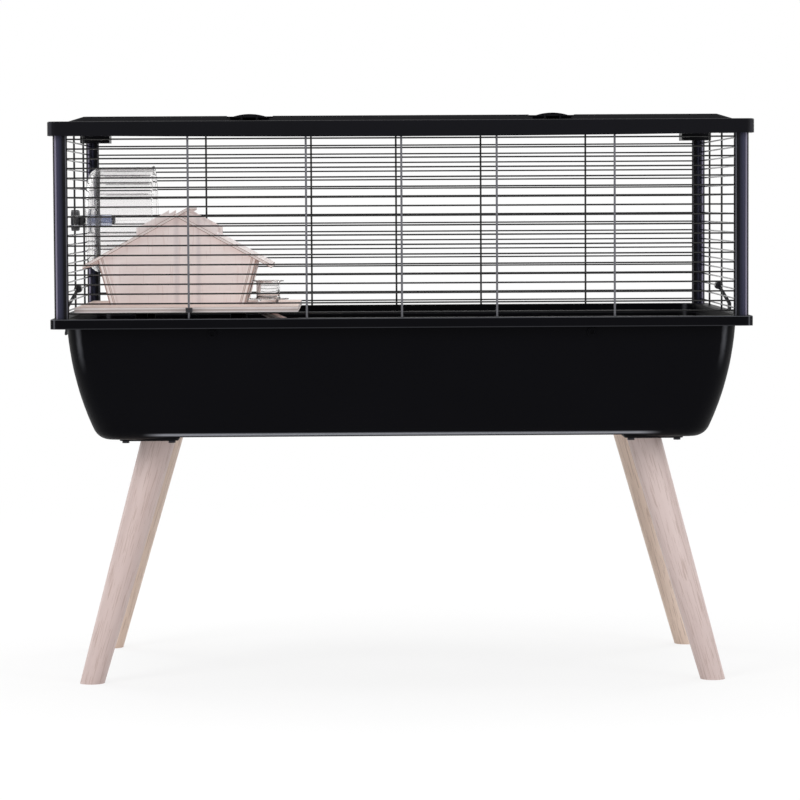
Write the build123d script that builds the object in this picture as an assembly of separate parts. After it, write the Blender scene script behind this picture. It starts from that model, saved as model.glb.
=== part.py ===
"""A wire cage for small rodents on four splayed wooden legs.

Frame: +Z up, front towards -Y, origin on the ground under the middle of the cage.  Millimetres.
"""
from build123d import *
from math import atan2, cos, degrees, hypot, radians, tan
import os

# ---------------------------------------------------------------- driving dimensions
# basin
RIM_LENGTH = 775.0        # over the rim, along X
RIM_WIDTH = 475.0         # over the rim, along Y
RIM_CORNER = 10.0         # plan radius of the rim's and the lid's corners
RIM_DEPTH = 11.0          # height of the rim's outer skirt
LEDGE = 3.5               # thickness of the rim's level ledge
SKIRT = 3.0               # thickness of the rim's and the lid's skirts
BASIN_DEPTH = 134.0       # from the underside of the tub to the rim's top
RIM_OVERHANG = 15.0       # from the tub's mouth to the rim's outer edge
TUB_KNEE = 63.0           # height above the tub's underside where its wall starts to lean more
TUB_UPPER_LEAN = 9.5      # how far the wall leans in above the knee
TUB_LOWER_LEAN = 22.5     # how far it leans in below the knee
CORNER_START_X = 262.0    # the tub's deeper corners start to sink here, from the middle
CORNER_START_Y = 88.0
CORNER_RAMP = 30.0        # plan length of that slope
TUB_CORNER = 28.0         # plan radius of the tub's corners
TUB_EDGE = 20.0           # radius between wall and floor
TUB_WALL = 3.0
TUB_FLOOR = 4.0
RIM_EDGE = 1.2            # rounding of the rim's top edge
CATCH_X = 210.0           # round catches moulded on the front wall, under the rim
CATCH_DROP = 6.5          # from the rim's lower edge to a catch's middle
CATCH_DIAMETER = 10.0
CATCH_HOLE = 5.0
CATCH_RISE = 2.0          # how far it stands out from the wall
# legs and their plates
LEG_HEIGHT = 275.0        # from the ground to the leg plates
LEG_TOP_DIAMETER = 38.0
LEG_FOOT_DIAMETER = 27.0
LEG_SPLAY_X = 76.0        # how far each foot stands out from its leg's top
LEG_SPLAY_Y = 30.0
LEG_OFFSET_X = 9.0        # from the plate's middle to the leg's, towards the cage's middle
LEG_OFFSET_Y = 7.0
PLATE_SIZE = 66.0
PLATE_THICKNESS = 3.0
PLATE_CORNER = 10.0
PAD_HEIGHT = 3.0          # how much deeper the tub's corners are, where the plates sit
PAD_BORDER = 2.0          # how far the seat stands out past the plate
SEAT_INSET_X = 0.5        # from the end of the tub's rounded edge to the seat
SEAT_INSET_Y = 8.5
STUD_DIAMETER = 8.0
STUD_DEPTH = 40.0         # how far the stud reaches into the leg
SCREW_DIAMETER = 4.0
SCREW_HEAD_DIAMETER = 8.0
SCREW_HEAD_HEIGHT = 2.4
SCREW_INSET = 7.0         # from the plate's edges
SCREW_BITE = 3.0          # how far the screw reaches into the tub's floor
# wire cage
CAGE_HEIGHT = 217.0       # from the rim's top to the lid's top
POST_DIAMETER = 16.0
POST_INSET = 12.5         # from the rim's outer edge to the post's axis
POST_FLUTES = 14
FLUTE_DIAMETER = 1.8
FLUTE_DEPTH = 0.5
SPIGOT_DIAMETER = 8.0
SPIGOT_LENGTH = 7.0
SOCKET_WALL = 3.0
WIRE = 1.8                # level wires
BAR = 2.4                 # upright wires
WELD = 0.3                # how far a bar sinks into the wires that it is welded to
WIRE_PITCH = 10.65
FIRST_WIRE = 5.9          # height of the lowest wire above the rim
SIDE_PANEL_SHIFT = 2.0    # the side panels stand this far outside the posts' axes
WIRE_END = 4.0            # from a post's axis to the ends of the wires in its groove
FRONT_BARS = (-235.0, -105.0, 0.0, 105.0, 235.0)
SIDE_BARS = (-130.0, 0.0, 130.0)
# lid
LID_PLATE = 4.0
LID_CORNER_DROP = 15.5    # height of the lid's corner blocks
LID_CORNER_BLOCK = 36.0
LID_SAG = 2.5             # the front skirt is this much deeper in the middle
LID_EDGE = 1.5            # rounding of the lid's top edge
LID_BORDER = 53.5         # width of the lid's frame around its opening
LID_PROUD = 1.0           # the lid stands this far out past the rim
# roof panel
PANEL_MARGIN_X = 19.5     # from the lid's edge to the panel's
PANEL_MARGIN_Y = 24.5
PANEL_HEIGHT = 5.7
PANEL_SLOPE_X = 18.0      # plan width of the panel's slanted edges
PANEL_SLOPE_Y = 10.0
PANEL_BORDER_X = 69.0     # width of the panel's frame around its grille
PANEL_BORDER_Y = 64.0
GRILLE_GRIP = 5.0         # depth of the slot that holds the grille's wires
GRILLE_EDGE = 1.0         # from the opening's long edges to the ends of that slot
# roof hinge
HINGE_X = 200.0
HINGE_SET_BACK = 16.5     # from the lid's back edge to the pin
KNUCKLE_RADIUS = 3.9
KNUCKLE_LENGTH = 10.0     # each of the lid's two knuckles
ARM_LENGTH = 20.0         # the panel's knuckle, between them
PIN_DIAMETER = 3.0
# roof latches
LATCH_X = 167.0
LATCH_WIDTH = 43.0
LATCH_LENGTH = 26.0
LATCH_RISE = 4.0
LATCH_TRAVEL = 6.0
LATCH_SET_BACK = 15.0     # from the panel's front edge to the button's middle
POCKET_GAP = 4.0          # around the button in its pocket
LATCH_WEB = 1.5           # floor of the pocket
LATCH_STEM = 6.0
LATCH_FOOT_WIDTH = 12.0
LATCH_FOOT_LENGTH = 10.0
LATCH_FOOT_HEIGHT = 1.1
TONGUE_WIDTH = 14.0
TONGUE_HEIGHT = 2.0
TONGUE_REACH = 8.0        # past the panel's front edge
CHEEK = 2.0               # thickness of the keeper's cheeks
# side clips
CLIP_Y = 16.0
CLIP_WIDTH = 14.0
CLIP_WIRE = 2             # the clip turns on this level wire, counted from the lowest as 0
CLIP_EYE = 9.0
CLIP_STRAP = 3.0
CLIP_GAP = 0.8            # from the rim's skirt to the strap
CLIP_LIP = 5.0            # how far the hook reaches under the rim
CLIP_LIP_HEIGHT = 2.5
CLIP_LIP_REACH = 10.0     # height of the space under the rim that the hook's curve is cut from
CLIP_TAB = 12.0           # finger tab below the hook
CLIP_FLARE = 1.7          # how far the tab stands out
# platform, its feet, its clip and the ramp
BOARD_WIDTH = 247.0       # along X
BOARD_DEPTH = 270.0       # along Y
BOARD_THICKNESS = 6.0
BOARD_RISE = 6.0          # from the rim's top to the board's underside
BOARD_SIDE_GAP = 15.0     # from the left panel to the board
BOARD_FRONT_GAP = 10.0    # from the front panel to the board
BOARD_FOOT = 14.0
BOARD_FOOT_INSET_X = 70.0
BOARD_FOOT_INSET_Y = 60.0
BOARD_CLIP_WIDTH = 7.0
BOARD_CLIP_WALL = 1.4
RAMP_WIDTH = 80.0
RAMP_THICKNESS = 6.0
RAMP_ANGLE = 25.0
RAMP_LAP = 38.0           # how far the ramp's top lies under the board
RAMP_SET_BACK = 50.0      # from the board's front edge
RUNG = 4.0
RUNG_PITCH = 28.0
# house
HOUSE_FROM_LEFT = 108.5   # from the board's left edge to the house's middle
HOUSE_SET_BACK = 103.0    # from the board's front edge to the front wall
HOUSE_DEPTH = 150.0
HOUSE_BASE = 153.6        # over the side walls, at the floor
HOUSE_LEAN = 0.265        # outward lean of the side walls, per unit of height
HOUSE_EAVE = 41.1         # from the board to the roof's underside at the eaves
ROOF_ANGLE = 28.5
ROOF_SPAN = 214.0         # over the eaves
ROOF_BOARD = 3.5
ROOF_OVERHANG = 8.0
RIDGE_LAP = 15.0          # how far the left roof board runs on past the ridge
WALL_FRONT = 5.0
WALL_SIDE = 8.5
SIDE_WALL_PROUD = 3.0
TAB_INNER = 9.0           # the walls' tabs stand through the roof from here
TAB_OUTER = 46.0          # to here, from the house's middle
TAB_RISE = 8.7
TAB_ROOT = 1.0            # how far a tab's outline starts below the roof
DOOR_WIDTH = 44.0
DOOR_HEIGHT = 38.0
WINDOW_DIAMETER = 34.0
# wheel
WHEEL_RADIUS = 64.0
WHEEL_LENGTH = 81.0
WHEEL_WALL = 1.6
WHEEL_SHOULDER = 18.0
WHEEL_FROM_BAR = 10.0     # from the side panel's back bar to the axle
WHEEL_WIRE = 9            # the axle passes above this level wire, counted from the lowest as 0
WHEEL_SLATS = 24
SLAT_WIDTH = 2.4
SLAT_HEIGHT = 1.4
SLAT_SET_BACK = 5.2       # from the drum's mouth to the ends of the slats
WHEEL_BEAD = 1.3
AXLE_DIAMETER = 6.0
AXLE_FLANGE = 16.0
AXLE_FLANGE_THICKNESS = 2.0
AXLE_END = 1.0            # how far the axle stands out past its push nut
HUB_DIAMETER = 14.0
HUB_LENGTH = 29.5
HUB_FLANGE = 28.0
HUB_BACK = 1.0            # how far the hub stands out behind the drum
COLLAR_DIAMETER = 12.0
COLLAR_LENGTH = 5.6
WASHER_DIAMETER = 24.0
WASHER_THICKNESS = 1.0
KNOB_DIAMETER = 25.4
KNOB_LENGTH = 8.2
KNOB_GRIPS = 16
KNOB_FACE = 2.0           # thickness of the knob's closed end
GRIP_RADIUS = 1.0         # of the grooves round the knob
PUSH_NUT_DIAMETER = 11.0
PUSH_NUT_LENGTH = 3.0
# bowl
BOWL_FROM_RIGHT = 36.0    # from the board's right edge to the bowl's middle
BOWL_SET_BACK = 125.0     # from the board's front edge
BOWL_DIAMETER = 27.0
BOWL_HEIGHT = 26.7
BOWL_WALL = 1.6
BOWL_FOOT_DIAMETER = 24.0
BOWL_FLANGE_DIAMETER = 47.0
BOWL_FLANGE_RISE = 4.8
BOWL_RIM_DIAMETER = 36.0
BOWL_LIP = 1.4
# clearances
FIT = 0.05                # radial, between a pin, stud or screw and its bore
TURNING_FIT = 0.1         # radial, between a clip and its wire
SEAT_GAP = 0.1            # between a piece and the wires that it bears on
PLAY = 0.3                # between pieces that slide or turn past each other
TOOL_RUN = 1.0            # how far a cutting shape runs past the face that it opens

# ---------------------------------------------------------------- heights and planes
plate_top = LEG_HEIGHT + PLATE_THICKNESS
tub_bottom = plate_top + PAD_HEIGHT
tub_floor = tub_bottom + TUB_FLOOR
rim_top = tub_bottom + BASIN_DEPTH
rim_bottom = rim_top - RIM_DEPTH
lid_top = rim_top + CAGE_HEIGHT
lid_under = lid_top - LID_PLATE
block_bottom = lid_top - LID_CORNER_DROP
half_length = RIM_LENGTH / 2
half_width = RIM_WIDTH / 2
lid_half_x = half_length + LID_PROUD
lid_half_y = half_width + LID_PROUD
post_x = half_length - POST_INSET
post_y = half_width - POST_INSET
side_x = post_x + SIDE_PANEL_SHIFT
first_wire = rim_top + FIRST_WIRE
wire_count = int((block_bottom - WIRE / 2 - first_wire) // WIRE_PITCH) + 1
wire_heights = [first_wire + WIRE_PITCH * i for i in range(wire_count)]
CORNERS = (("front_left", -1, -1), ("front_right", 1, -1), ("back_left", -1, 1), ("back_right", 1, 1))
LOW = (Align.CENTER, Align.CENTER, Align.MIN)


# ---------------------------------------------------------------- helpers
def block(x0, x1, y0, y1, z0, z1):
    """A box between two opposite corners."""
    return Pos((x0 + x1) / 2, (y0 + y1) / 2, (z0 + z1) / 2) * Box(x1 - x0, y1 - y0, z1 - z0)


def disc(x, y, z0, z1, diameter):
    """An upright cylinder."""
    return Pos(x, y, z0) * Cylinder(diameter / 2, z1 - z0, align=LOW)


def rod(start, end, diameter):
    """A round bar between two points."""
    axis = Vector(*end) - Vector(*start)
    return Plane(origin=start, z_dir=axis) * Cylinder(diameter / 2, axis.length, align=LOW)


def prism(points, y0, y1):
    """A polygon given as (x, z) points, run from y0 to y1."""
    face = make_face(Polyline(*[(x, y0, z) for x, z in points], close=True))
    return extrude(face, amount=y1 - y0, dir=(0, 1, 0))


def rounded_slab(length, width, radius, z0, z1):
    """A level slab with rounded corners in plan."""
    return Pos(0, 0, z0) * extrude(RectangleRounded(length, width, radius), z1 - z0)


# ---------------------------------------------------------------- basin and legs
tub_half_x = half_length - RIM_OVERHANG - TUB_UPPER_LEAN - TUB_LOWER_LEAN
tub_half_y = half_width - RIM_OVERHANG - TUB_UPPER_LEAN - TUB_LOWER_LEAN
pad_size = PLATE_SIZE + 2 * PAD_BORDER
pad_x = tub_half_x - TUB_EDGE - SEAT_INSET_X - pad_size / 2
pad_y = tub_half_y - TUB_EDGE - SEAT_INSET_Y - pad_size / 2


def leg_line(sx, sy):
    """Middle of a leg's top and foot."""
    top = Vector(sx * (pad_x - LEG_OFFSET_X), sy * (pad_y - LEG_OFFSET_Y), LEG_HEIGHT)
    return top, Vector(top.X + sx * LEG_SPLAY_X, top.Y + sy * LEG_SPLAY_Y, 0)


def plate_screw_points(sx, sy):
    """Places of the four screws of a leg plate."""
    reach = PLATE_SIZE / 2 - SCREW_INSET
    return [(sx * pad_x + i * reach, sy * pad_y + j * reach) for i in (-1, 1) for j in (-1, 1)]


def tub(inset, bottom, edge):
    """The tub's body drawn in by inset, down to bottom, with its lower edge rounded."""
    levels = (
        (bottom, TUB_UPPER_LEAN + TUB_LOWER_LEAN),
        (tub_bottom + TUB_KNEE, TUB_UPPER_LEAN),
        (rim_top, 0),
    )
    sections = []
    for z, lean in levels:
        drawn_in = RIM_OVERHANG + lean + inset
        outline = RectangleRounded(RIM_LENGTH - 2 * drawn_in, RIM_WIDTH - 2 * drawn_in, TUB_CORNER - inset)
        sections.append(Pos(0, 0, z) * outline)
    body = loft(sections)
    return fillet(body.faces().sort_by(Axis.Z)[0].edges(), edge)


def underside_relief():
    """What is cut from under the tub to leave its four corners deeper, with sloping ends."""
    below = plate_top - TOOL_RUN
    seat_x, seat_y = pad_x + pad_size / 2, pad_y + pad_size / 2
    inner_x, inner_y = pad_x - pad_size / 2, pad_y - pad_size / 2
    cuts = [
        block(-inner_x, inner_x, -seat_y, seat_y, below, tub_bottom),
        block(-seat_x, seat_x, -inner_y, inner_y, below, tub_bottom),
    ]
    for start, y0, y1, turn in (
        (CORNER_START_X, seat_y, half_width, 0),
        (CORNER_START_Y, seat_x, half_length, 90),
    ):
        end = start + CORNER_RAMP
        outline = [
            (-end, below),
            (-end, plate_top),
            (-start, tub_bottom),
            (start, tub_bottom),
            (end, plate_top),
            (end, below),
        ]
        bar = prism(outline, y0, y1)
        cuts += [Rot(0, 0, turn) * bar, Rot(0, 0, turn + 180) * bar]
    return cuts


def basin():
    """Deep tray with a ledge and skirt for a rim, post sockets and deeper corners for the leg plates."""
    rim = rounded_slab(RIM_LENGTH, RIM_WIDTH, RIM_CORNER, rim_bottom, rim_top)
    rim = fillet(rim.faces().sort_by(Axis.Z)[-1].edges(), RIM_EDGE)
    inside_length = RIM_LENGTH - 2 * SKIRT
    inside_width = RIM_WIDTH - 2 * SKIRT
    hollow = rounded_slab(inside_length, inside_width, RIM_CORNER - SKIRT, rim_bottom, rim_top - LEDGE)
    body = rim - hollow + (tub(0, plate_top, TUB_EDGE) - underside_relief())
    socket_diameter = SPIGOT_DIAMETER + 2 * SOCKET_WALL
    for _, sx, sy in CORNERS:
        body += disc(sx * post_x, sy * post_y, rim_bottom, rim_top - LEDGE / 2, socket_diameter)
    catch_y = -(half_width - RIM_OVERHANG)
    catch_z = rim_bottom - CATCH_DROP
    for x in (-CATCH_X, CATCH_X):
        face, root = (x, catch_y - CATCH_RISE / 2, catch_z), (x, catch_y + TUB_WALL, catch_z)
        body += rod(root, face, CATCH_DIAMETER)
        body -= rod((x, catch_y + CATCH_RISE / 2, catch_z), face, CATCH_HOLE)
    body -= tub(TUB_WALL, tub_floor, TUB_EDGE - TUB_WALL)
    for _, sx, sy in CORNERS:
        bore = SPIGOT_DIAMETER + 2 * FIT
        body -= disc(sx * post_x, sy * post_y, rim_top - SPIGOT_LENGTH - PLAY, rim_top, bore)
        for x, y in plate_screw_points(sx, sy):
            body -= disc(x, y, plate_top, tub_bottom + SCREW_BITE + FIT, SCREW_DIAMETER + 2 * FIT)
    return body


def leg_plate(sx, sy):
    """Square steel plate between the tub and a leg, drilled for its screws and its stud."""
    outline = RectangleRounded(PLATE_SIZE, PLATE_SIZE, PLATE_CORNER)
    plate = Pos(sx * pad_x, sy * pad_y, LEG_HEIGHT) * extrude(outline, PLATE_THICKNESS)
    for x, y in plate_screw_points(sx, sy):
        plate -= disc(x, y, LEG_HEIGHT, plate_top, SCREW_DIAMETER + 2 * FIT)
    return plate - stud_bar(sx, sy, STUD_DIAMETER + 2 * FIT, STUD_DEPTH)


def plate_screws():
    """All sixteen screws of the leg plates, heads down."""
    screws = []
    for _, sx, sy in CORNERS:
        for x, y in plate_screw_points(sx, sy):
            head = disc(x, y, LEG_HEIGHT - SCREW_HEAD_HEIGHT, LEG_HEIGHT, SCREW_HEAD_DIAMETER)
            screws.append(head + disc(x, y, LEG_HEIGHT, tub_bottom + SCREW_BITE, SCREW_DIAMETER))
    return Compound(children=screws)


def stud_bar(sx, sy, diameter, depth):
    """A bar along a leg's line, from depth inside the leg to past the plate's top."""
    top, foot = leg_line(sx, sy)
    along = (top - foot).normalized()
    return rod(top - along * depth, top + along * STUD_DEPTH, diameter)


def leg(sx, sy):
    """Round tapered leg, cut level at the ground and at its plate, bored for the stud."""
    top, foot = leg_line(sx, sy)
    axis = top - foot
    spare = LEG_TOP_DIAMETER
    growth = (LEG_TOP_DIAMETER - LEG_FOOT_DIAMETER) / 2 / axis.length * spare
    start = foot - axis.normalized() * spare
    foot_radius = LEG_FOOT_DIAMETER / 2 - growth
    top_radius = LEG_TOP_DIAMETER / 2 + growth
    cone = Cone(foot_radius, top_radius, axis.length + 2 * spare, align=LOW)
    level = block(-half_length, half_length, -half_width, half_width, 0, LEG_HEIGHT)
    body = (Plane(origin=start, z_dir=axis) * cone) & level
    return body - stud_bar(sx, sy, STUD_DIAMETER + 2 * FIT, STUD_DEPTH)


def leg_studs():
    """Threaded studs that hold the legs to their plates."""
    level = block(-half_length, half_length, -half_width, half_width, 0, plate_top)
    bars = [stud_bar(sx, sy, STUD_DIAMETER, STUD_DEPTH - PLAY) for _, sx, sy in CORNERS]
    return Compound(children=[bar & level for bar in bars])


# ---------------------------------------------------------------- wire cage
def post(sx, sy):
    """Fluted corner post with a spigot at each end and grooves for the ends of the wires."""
    x, y = sx * post_x, sy * post_y
    body = disc(x, y, rim_top, block_bottom, POST_DIAMETER)
    ring = POST_DIAMETER / 2 + FLUTE_DIAMETER / 2 - FLUTE_DEPTH
    flute = Cylinder(FLUTE_DIAMETER / 2, block_bottom - rim_top, align=LOW)
    body -= Pos(x, y, rim_top) * PolarLocations(ring, POST_FLUTES, start_angle=180 / POST_FLUTES) * flute
    groove = WIRE / 2 + PLAY
    near, far = WIRE_END - PLAY, POST_DIAMETER
    front_x = sorted((x - sx * near, x - sx * far))
    side_y = sorted((y - sy * near, y - sy * far))
    body -= block(*front_x, y - groove, y + groove, rim_top, block_bottom)
    body -= block(sx * side_x - groove, sx * side_x + groove, *side_y, rim_top, block_bottom)
    return body + disc(x, y, rim_top - SPIGOT_LENGTH, block_bottom + SPIGOT_LENGTH, SPIGOT_DIAMETER)


def wire_panel(length, bars):
    """Welded panel in the XZ plane: level wires through Y = 0 and upright bars on their -Y side."""
    pieces = [rod((-length / 2, 0, z), (length / 2, 0, z), WIRE) for z in wire_heights]
    bar_y = -(WIRE / 2 + BAR / 2 - WELD)
    pieces += [rod((x, bar_y, rim_top), (x, bar_y, lid_under), BAR) for x in bars]
    return pieces[0].fuse(*pieces[1:])


# ---------------------------------------------------------------- lid and roof
panel_bottom = lid_top + PLAY
panel_top = panel_bottom + PANEL_HEIGHT
panel_half_x = lid_half_x - PANEL_MARGIN_X
panel_half_y = lid_half_y - PANEL_MARGIN_Y
hinge_y = lid_half_y - HINGE_SET_BACK
hinge_z = lid_top + KNUCKLE_RADIUS + PLAY
grille_z = panel_bottom + PANEL_HEIGHT / 2
web_bottom = panel_bottom + PLAY + LATCH_FOOT_HEIGHT + PLAY
web_top = web_bottom + LATCH_WEB
latch_y = -panel_half_y + LATCH_SET_BACK
tongue_tip = -panel_half_y - TONGUE_REACH


def knuckle(x0, x1):
    """A hinge knuckle with its bore, around the hinge line."""
    bore = rod((x0, hinge_y, hinge_z), (x1, hinge_y, hinge_z), PIN_DIAMETER + 2 * FIT)
    return rod((x0, hinge_y, hinge_z), (x1, hinge_y, hinge_z), 2 * KNUCKLE_RADIUS), bore


def lid_skirt():
    """Front skirt whose lower edge sags a little in the middle."""
    y0 = -lid_half_y
    low = block_bottom - LID_SAG
    left_end, right_end = (-lid_half_x, y0, block_bottom), (lid_half_x, y0, block_bottom)
    sag = ThreePointArc(left_end, (0, y0, low), right_end)
    top = Polyline(right_end, (lid_half_x, y0, lid_under), (-lid_half_x, y0, lid_under), left_end)
    return extrude(make_face([*sag.edges(), *top.edges()]), amount=SKIRT, dir=(0, 1, 0))


def lid_frame():
    """Moulded frame on the posts, with corner blocks, hinge knuckles and the latches' keepers."""
    plate = rounded_slab(2 * lid_half_x, 2 * lid_half_y, RIM_CORNER, lid_under, lid_top)
    plate = fillet(plate.faces().sort_by(Axis.Z)[-1].edges(), LID_EDGE)
    lower = [lid_skirt()]
    for _, sx, sy in CORNERS:
        inner_x = lid_half_x - LID_CORNER_BLOCK
        inner_y = lid_half_y - LID_CORNER_BLOCK
        xs = sorted((sx * inner_x, sx * lid_half_x))
        ys = sorted((sy * inner_y, sy * lid_half_y))
        lower.append(block(*xs, *ys, block_bottom, lid_under))
    low = block_bottom - LID_SAG
    outline = rounded_slab(2 * lid_half_x, 2 * lid_half_y, RIM_CORNER, low, lid_under)
    body = plate + [piece & outline for piece in lower]
    socket_top = block_bottom + SPIGOT_LENGTH + PLAY
    for _, sx, sy in CORNERS:
        body -= disc(sx * post_x, sy * post_y, block_bottom, socket_top, SPIGOT_DIAMETER + 2 * FIT)
    open_x = lid_half_x - LID_BORDER
    open_y = lid_half_y - LID_BORDER
    body -= rounded_slab(2 * open_x, 2 * open_y, RIM_CORNER, lid_under, lid_top)
    root = lid_top - LID_PLATE / 2
    near = ARM_LENGTH / 2 + PLAY
    cheek_y0, cheek_y1 = tongue_tip - CHEEK, tongue_tip + LATCH_TRAVEL - PLAY
    cheek_top = web_top + PLAY + TONGUE_HEIGHT
    for side in (-1, 1):
        for x0 in (side * HINGE_X - near - KNUCKLE_LENGTH, side * HINGE_X + near):
            x1 = x0 + KNUCKLE_LENGTH
            barrel, bore = knuckle(x0, x1)
            foot = block(x0, x1, hinge_y - KNUCKLE_RADIUS, hinge_y + KNUCKLE_RADIUS, root, hinge_z)
            body = body + [barrel, foot] - bore
        for way in (-1, 1):
            cheek_x = side * LATCH_X + way * (TONGUE_WIDTH / 2 + PLAY + CHEEK / 2)
            x0, x1 = cheek_x - CHEEK / 2, cheek_x + CHEEK / 2
            body += block(x0, x1, cheek_y0, cheek_y1, root, cheek_top)
    return body


def roof_panel():
    """Raised roof panel: a frame with slanted edges around the grille, hinge arms and latch pockets."""
    foot = Pos(0, 0, panel_bottom) * RectangleRounded(2 * panel_half_x, 2 * panel_half_y, RIM_CORNER)
    head_x = 2 * (panel_half_x - PANEL_SLOPE_X)
    head_y = 2 * (panel_half_y - PANEL_SLOPE_Y)
    head = Pos(0, 0, panel_top) * RectangleRounded(head_x, head_y, RIM_CORNER / 2)
    body = loft([foot, head], ruled=True)
    open_x = panel_half_x - PANEL_BORDER_X
    open_y = panel_half_y - PANEL_BORDER_Y
    body -= rounded_slab(2 * open_x, 2 * open_y, RIM_CORNER, panel_bottom, panel_top)
    grip = WIRE / 2 + PLAY
    grip_x = open_x + GRILLE_GRIP
    grip_y = open_y - GRILLE_EDGE
    body -= block(-grip_x, grip_x, -grip_y, grip_y, grille_z - grip, grille_z + grip)
    for side in (-1, 1):
        x = side * LATCH_X
        pocket = LATCH_WIDTH / 2 + POCKET_GAP
        back = latch_y + LATCH_LENGTH / 2 + LATCH_TRAVEL + 2 * PLAY
        body -= block(x - pocket, x + pocket, -panel_half_y, back, web_top, panel_top)
        relief = LATCH_FOOT_WIDTH / 2 + 2 * PLAY
        reach = LATCH_FOOT_LENGTH / 2 + 2 * PLAY
        y0, y1 = latch_y - reach, latch_y + reach + LATCH_TRAVEL
        body -= block(x - relief, x + relief, y0, y1, panel_bottom, web_bottom)
        slot = LATCH_STEM / 2 + PLAY
        y0, y1 = latch_y - slot, latch_y + slot + LATCH_TRAVEL
        body -= block(x - slot, x + slot, y0, y1, panel_bottom, web_top)
        arm_x = side * HINGE_X
        x0, x1 = arm_x - ARM_LENGTH / 2, arm_x + ARM_LENGTH / 2
        barrel, bore = knuckle(x0, x1)
        arm = block(x0, x1, panel_half_y - PANEL_SLOPE_Y, hinge_y, hinge_z - KNUCKLE_RADIUS, hinge_z)
        body = body + [barrel, arm] - bore
    return body


def roof_grille():
    """Wire grille of the roof panel; only the long wires reach into the panel's slots."""
    open_x = panel_half_x - PANEL_BORDER_X
    open_y = panel_half_y - PANEL_BORDER_Y
    reach = open_x + GRILLE_GRIP - PLAY
    rows = int((open_y - GRILLE_EDGE - WIRE) // WIRE_PITCH)
    pieces = []
    for i in range(-rows, rows + 1):
        y = i * WIRE_PITCH
        pieces.append(rod((-reach, y, grille_z), (reach, y, grille_z), WIRE))
    bar_z = grille_z - (WIRE / 2 + BAR / 2 - WELD)
    end = rows * WIRE_PITCH + WIRE / 2
    pieces += [rod((x, -end, bar_z), (x, end, bar_z), BAR) for x in FRONT_BARS]
    return pieces[0].fuse(*pieces[1:])


def hinge_pins():
    """Steel pins of the two roof hinges."""
    reach = ARM_LENGTH / 2 + PLAY + KNUCKLE_LENGTH
    ends = [(side * HINGE_X - reach, side * HINGE_X + reach) for side in (-1, 1)]
    pins = [rod((x0, hinge_y, hinge_z), (x1, hinge_y, hinge_z), PIN_DIAMETER) for x0, x1 in ends]
    return Compound(children=pins)


def roof_latch(side):
    """Domed sliding button with a tongue in front and a foot that holds it in the panel's slot."""
    x = side * LATCH_X
    base = web_top + PLAY
    radius = (LATCH_WIDTH ** 2 / 4 + LATCH_RISE ** 2) / (2 * LATCH_RISE)
    y0, y1 = latch_y - LATCH_LENGTH / 2, latch_y + LATCH_LENGTH / 2
    axis_z = base + LATCH_RISE - radius
    dome = rod((x, y0, axis_z), (x, y1, axis_z), 2 * radius)
    dome &= block(x - LATCH_WIDTH, x + LATCH_WIDTH, y0, y1, base, base + 2 * LATCH_RISE)
    tongue_x = TONGUE_WIDTH / 2
    tongue = block(x - tongue_x, x + tongue_x, tongue_tip, latch_y, base, base + TONGUE_HEIGHT)
    stem = LATCH_STEM / 2
    foot_top = panel_bottom + PLAY + LATCH_FOOT_HEIGHT
    body = dome + tongue + block(x - stem, x + stem, latch_y - stem, latch_y + stem, foot_top, base)
    wide, long = LATCH_FOOT_WIDTH / 2, LATCH_FOOT_LENGTH / 2
    return body + block(x - wide, x + wide, latch_y - long, latch_y + long, panel_bottom + PLAY, foot_top)


# ---------------------------------------------------------------- side clips
def strap_part(start, end):
    """Round-ended strip between two (x, z) points."""
    span = hypot(end[0] - start[0], end[1] - start[1])
    turn = degrees(atan2(end[1] - start[1], end[0] - start[0]))
    middle = ((start[0] + end[0]) / 2, (start[1] + end[1]) / 2)
    return Pos(*middle) * Rot(0, 0, turn) * SlotCenterToCenter(span, CLIP_STRAP)


def side_clip(side):
    """Hook that turns on a wire of the side panel and grips under the basin's rim."""
    pivot = (side_x, wire_heights[CLIP_WIRE])
    strap_x = half_length + CLIP_GAP + CLIP_STRAP / 2
    shoulder = (strap_x, rim_top + 2 * CLIP_STRAP)
    lip_radius = hypot(half_length - pivot[0], pivot[1] - rim_bottom) + PLAY + FIT
    lip_x = half_length - CLIP_LIP
    hook = (strap_x, rim_bottom - CLIP_LIP_HEIGHT)
    tip = (strap_x + CLIP_FLARE, hook[1] - CLIP_TAB)
    ring = Pos(*pivot) * (Circle(lip_radius + CLIP_LIP_HEIGHT) - Circle(lip_radius))
    window = Rectangle(strap_x - lip_x, CLIP_LIP_REACH)
    lip = ring & (Pos((lip_x + strap_x) / 2, rim_bottom - CLIP_LIP_HEIGHT) * window)
    outline = Pos(*pivot) * Circle(CLIP_EYE / 2) + strap_part(pivot, shoulder) + strap_part(shoulder, hook)
    outline = outline + strap_part(hook, tip) + lip
    outline -= Pos(*pivot) * Circle(WIRE / 2 + TURNING_FIT)
    body = extrude(Plane.XZ.offset(-CLIP_Y - CLIP_WIDTH / 2) * outline, CLIP_WIDTH)
    return body if side > 0 else mirror(body, about=Plane.YZ)


# ---------------------------------------------------------------- platform and ramp
board_left = -side_x + BOARD_SIDE_GAP
board_right = board_left + BOARD_WIDTH
board_front = -post_y + BOARD_FRONT_GAP
board_back = board_front + BOARD_DEPTH
board_under = rim_top + BOARD_RISE
board_top = board_under + BOARD_THICKNESS
ramp_front = board_front + RAMP_SET_BACK
ramp_start = board_right - RAMP_LAP
ramp_drop = board_under - tub_floor


def platform_foot(x, y):
    """Wooden dowel that carries the platform from the basin's floor."""
    return disc(x, y, tub_floor, board_under, BOARD_FOOT)


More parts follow.
